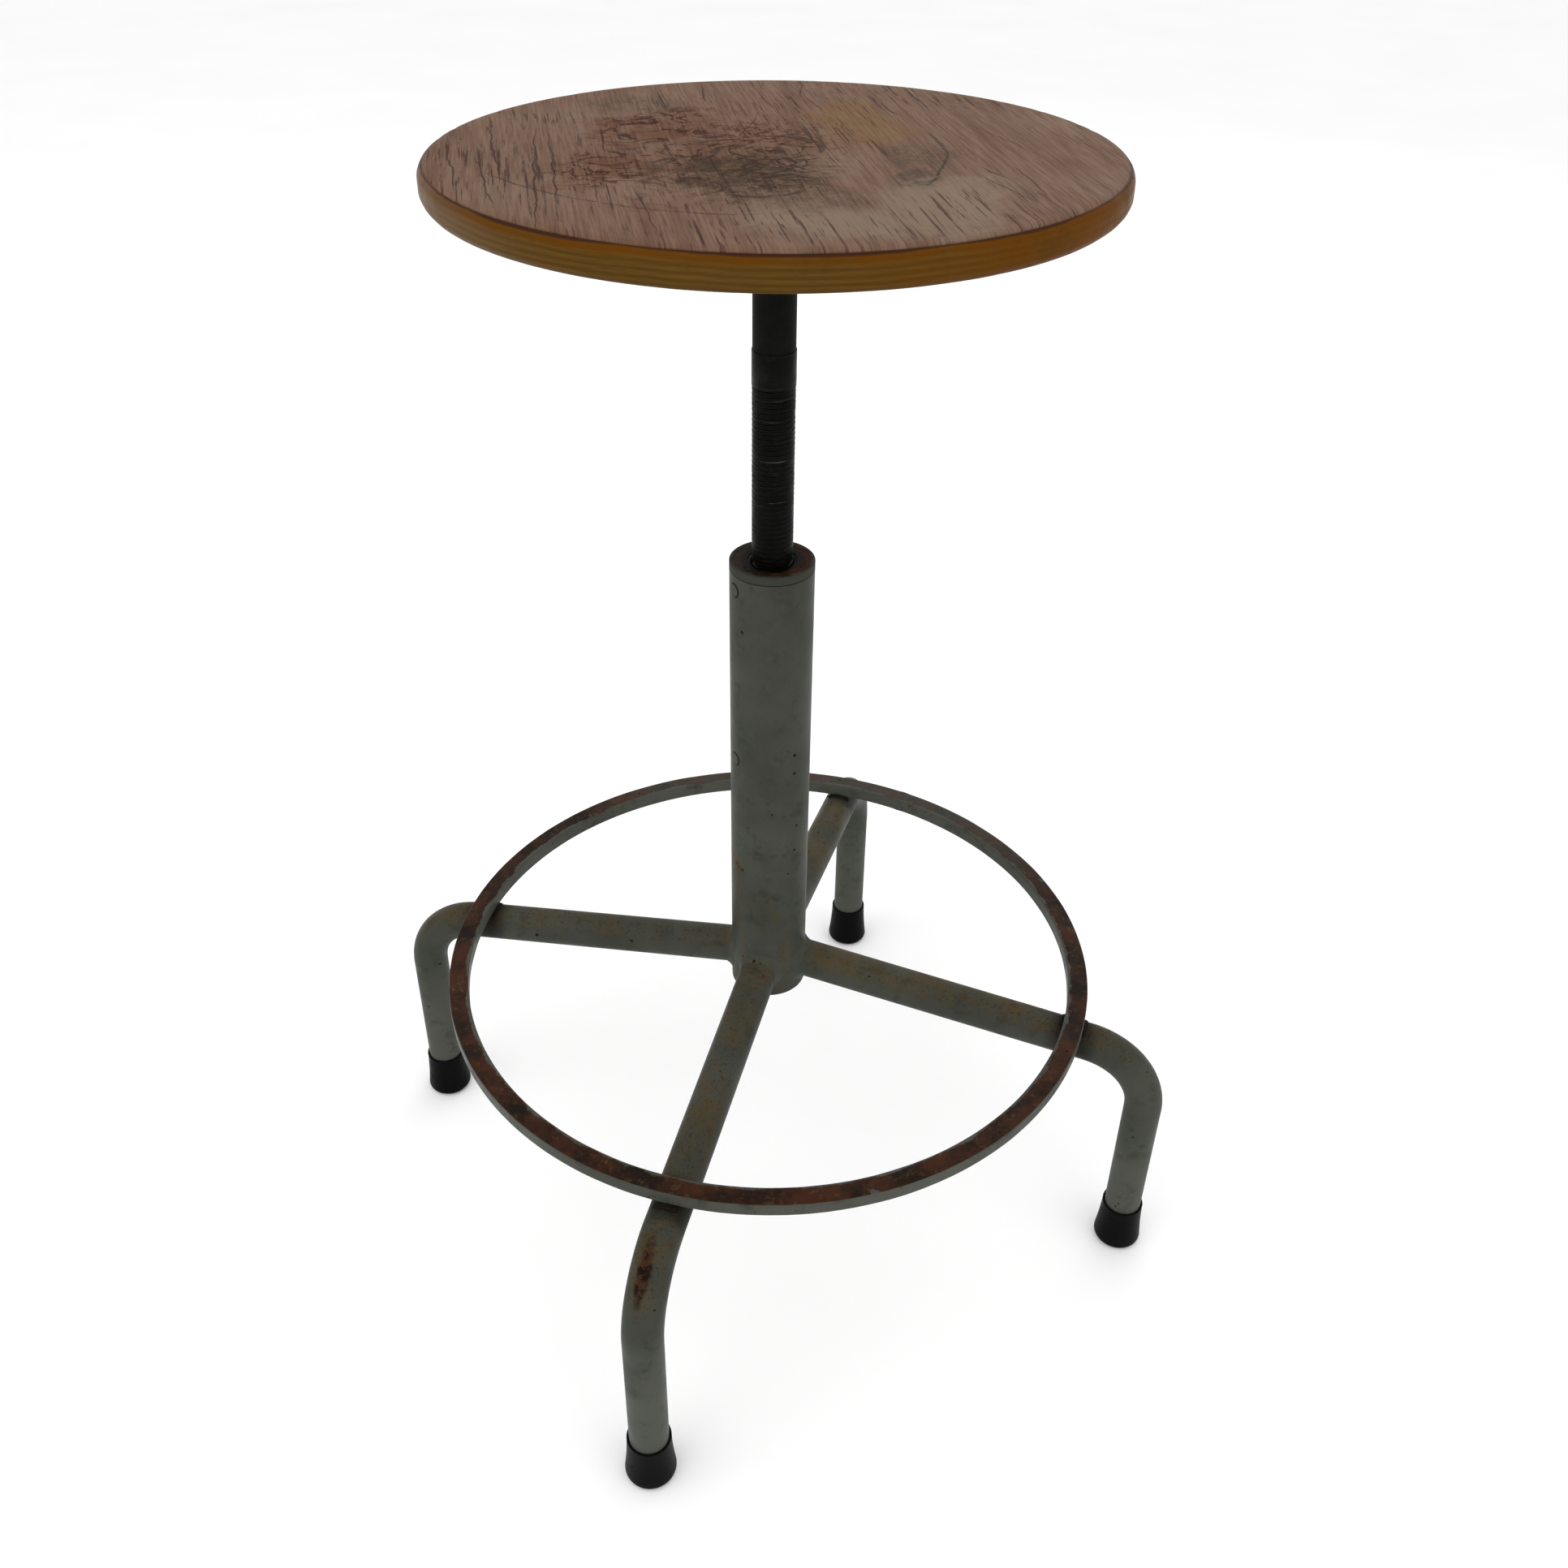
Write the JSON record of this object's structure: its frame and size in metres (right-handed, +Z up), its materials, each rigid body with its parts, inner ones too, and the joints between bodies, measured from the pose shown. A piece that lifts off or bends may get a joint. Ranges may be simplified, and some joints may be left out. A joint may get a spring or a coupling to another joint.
{
  "type": "adjustable swivel stool",
  "caption": "Round plywood seat on a screw spindle, with a tubular column, bent tube legs, a flat bar foot ring and rubber feet.",
  "frame": {"origin": "on the floor, on the spindle's axis", "axes": "+Z up; the legs stand on -Y (front), +X (right), +Y (back) and -X (left)"},
  "size_m": [0.5624, 0.5624, 0.7325],
  "materials": {
    "plywood": "worn varnished ply edge with dark and light plies",
    "worn_veneer": "worn brown face veneer with checks and dark grime",
    "painted_steel": "old grey-green paint with rust stains and pits",
    "rusty_steel": "paint worn to brown rust on top",
    "dark_steel": "dark sooted steel",
    "oiled_steel": "black greasy thread",
    "bare_steel": "dull bare steel",
    "black_rubber": "matt black moulded rubber"
  },
  "bodies": {
    "base": {"column_tube": "painted_steel", "top_nut": "rusty_steel", "guide_bush": "bare_steel", "upper_pins": "painted_steel", "lower_pins": "painted_steel", "bottom_cap": "painted_steel", "leg_front": "painted_steel", "leg_right": "painted_steel", "leg_back": "painted_steel", "leg_left": "painted_steel", "leg_welds": "painted_steel", "foot_ring": "rusty_steel", "ring_welds": "dark_steel", "ferrule_front": "black_rubber", "ferrule_right": "black_rubber", "ferrule_back": "black_rubber", "ferrule_left": "black_rubber", "ferrule_washers": "bare_steel"},
    "stop": {"stop_washer": "bare_steel"},
    "seat": {"spindle": "oiled_steel", "stop_bolt": "bare_steel", "seat_plate": "dark_steel", "seat_hub": "dark_steel", "hub_weld": "dark_steel", "hub_pin": "bare_steel", "seat_screws": "bare_steel", "seat_core": "plywood", "seat_veneer": "worn_veneer"}
  },
  "joints": [
    {"name": "seat_height", "type": "slide", "parent": "base", "child": "stop", "axis": [0, 0, 1], "range_m": [-0.1051, 0.0451]},
    {"name": "seat_turn", "type": "hinge", "parent": "stop", "child": "seat", "pos_m": [0, 0, 0.5], "axis": [0, 0, 1], "range_deg": [-12600, 5400]}
  ],
  "couplings": [
    {"joint": "seat_height", "follows": "seat_turn", "m_per_rad": 0.00047746}
  ]
}
